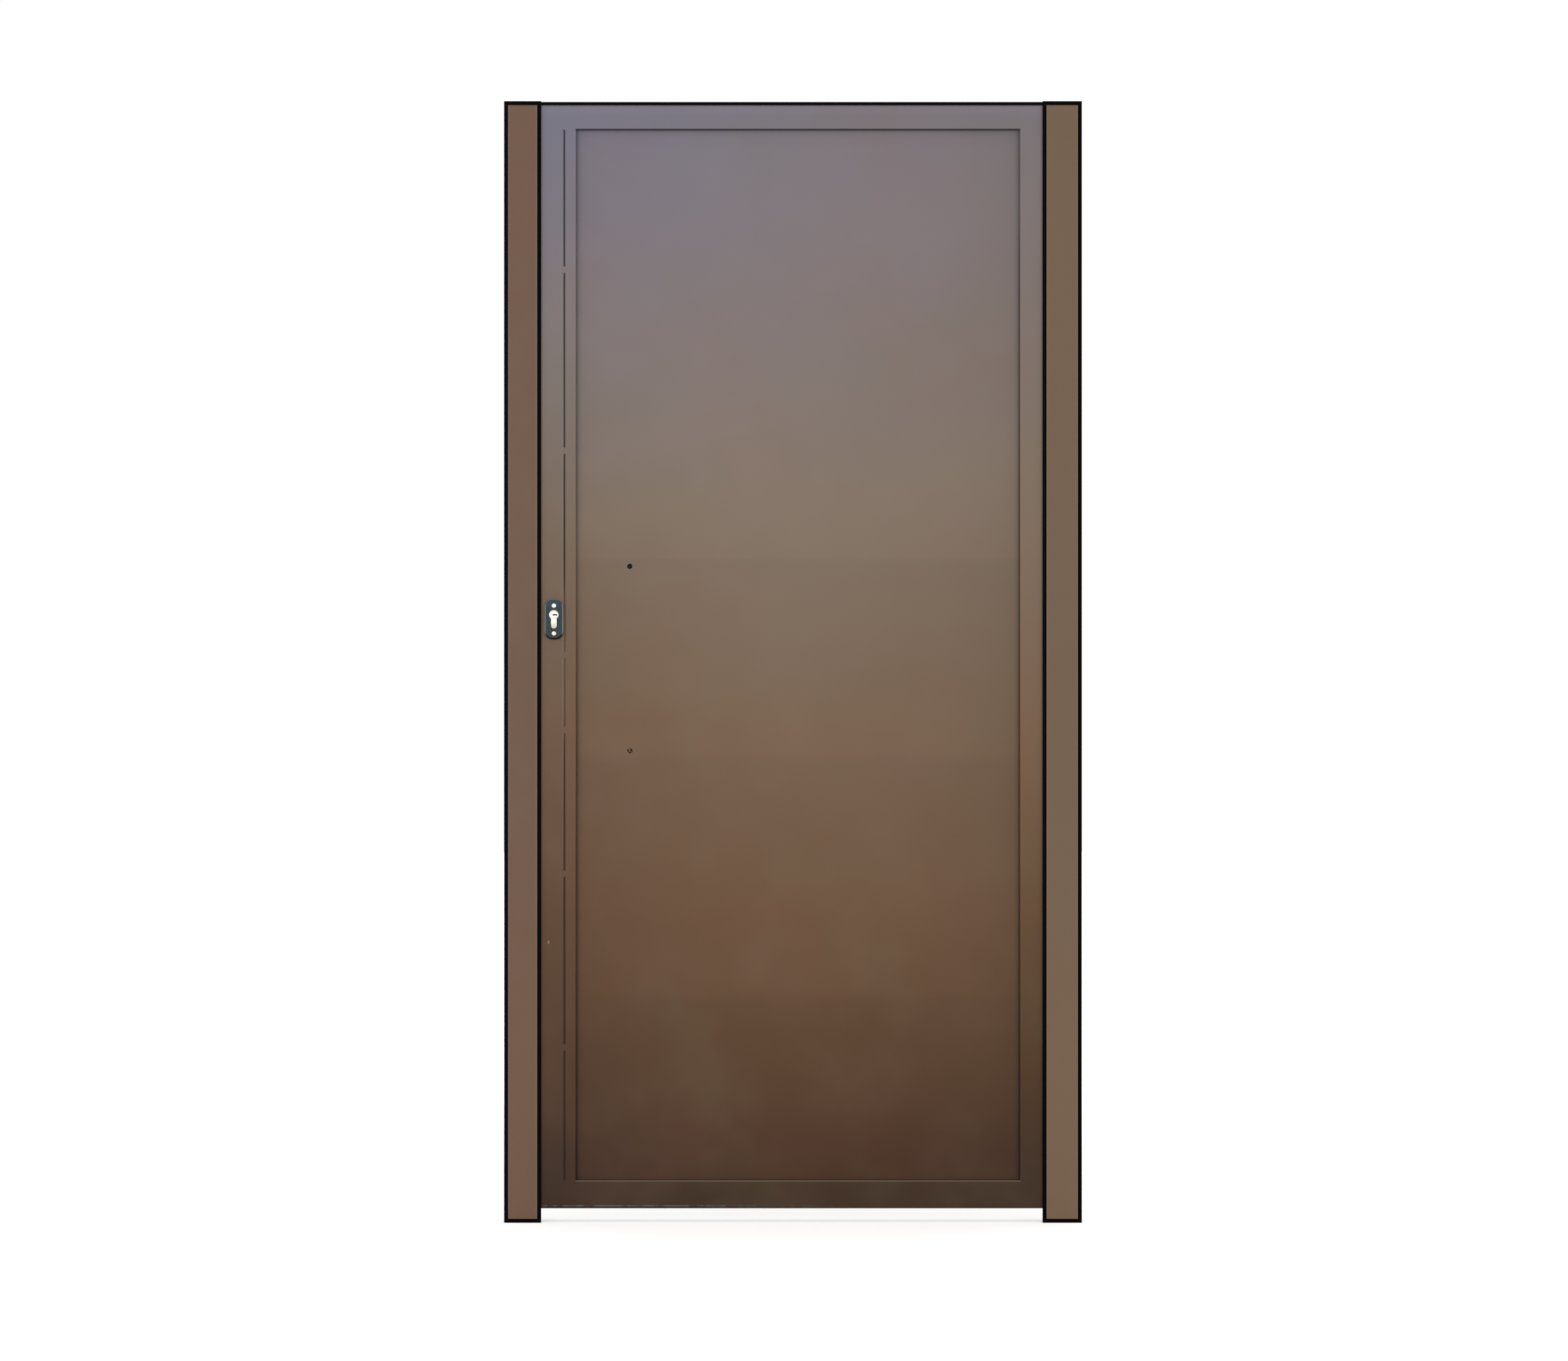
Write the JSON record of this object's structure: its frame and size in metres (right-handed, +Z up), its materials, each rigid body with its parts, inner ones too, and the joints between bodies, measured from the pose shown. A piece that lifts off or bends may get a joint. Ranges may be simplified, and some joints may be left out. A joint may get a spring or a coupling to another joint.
{
  "type": "iron door with posts",
  "caption": "Painted steel door leaf with a recessed sheet panel, hung between two square posts, with a cylinder lock and two pull-handle fixing holes.",
  "frame": {"origin": "middle of the hinge post's foot, on its underside", "axes": "+X from the leaf towards the hinge post's outer side, +Y from the front to the back (the leaf opens that way), +Z up"},
  "size_m": [1.03, 0.077, 2],
  "materials": {
    "leaf_paint": "satin brown paint, greyer towards the top and darker towards the bottom",
    "post_paint": "satin brown paint",
    "black_paint": "satin black paint",
    "bright_steel": "zinc-plated steel",
    "slate_plate": "slate grey satin coating on cast metal",
    "nickel": "satin nickel plate on brass",
    "washer_brass": "plain brass"
  },
  "bodies": {
    "frame": {"lock_post_tube": "post_paint", "lock_post_edging": "black_paint", "lock_post_face_plate": "post_paint", "lock_post_cap": "black_paint", "lock_post_foot": "black_paint", "strike_plate": "bright_steel", "hinge_post_tube": "post_paint", "hinge_post_edging": "black_paint", "hinge_post_face_plate": "post_paint", "hinge_post_cap": "black_paint", "hinge_post_foot": "black_paint", "head_bar": "black_paint", "hinge_bottom_post_half": "post_paint", "hinge_middle_post_half": "post_paint", "hinge_top_post_half": "post_paint", "hinge_washers": "washer_brass"},
    "leaf": {"leaf_top_rail": "leaf_paint", "leaf_bottom_rail": "leaf_paint", "leaf_hinge_stile": "leaf_paint", "leaf_lock_stile": "leaf_paint", "leaf_inner_stile": "leaf_paint", "ground_welds": "leaf_paint", "panel_sheet": "leaf_paint", "cross_rail_1": "leaf_paint", "cross_rail_2": "leaf_paint", "cross_rail_3": "leaf_paint", "cross_rail_4": "leaf_paint", "panel_angle_top": "leaf_paint", "panel_angle_bottom": "leaf_paint", "panel_angle_lock_side": "leaf_paint", "panel_angle_hinge_side": "leaf_paint", "handle_anchors": "bright_steel", "leftover_screw": "bright_steel", "hinge_bottom_leaf_half": "leaf_paint", "hinge_middle_leaf_half": "leaf_paint", "hinge_top_leaf_half": "leaf_paint", "lock_forend": "bright_steel", "lock_case": "bright_steel", "lock_bolt": "bright_steel", "escutcheon_front": "slate_plate", "escutcheon_back": "slate_plate", "escutcheon_screws": "bright_steel", "cylinder_body": "nickel", "key_plug_back": "nickel"},
    "key_plug": {"key_plug_front": "nickel"}
  },
  "joints": [
    {"name": "leaf_swing", "type": "hinge", "parent": "frame", "child": "leaf", "pos_m": [-0.03025, 0.035, 1], "axis": [0, 0, -1], "range_deg": [0, 110]},
    {"name": "key_turn", "type": "hinge", "parent": "leaf", "child": "key_plug", "pos_m": [-0.916, -0.034, 1.084], "axis": [0, 1, 0], "continuous": true}
  ]
}
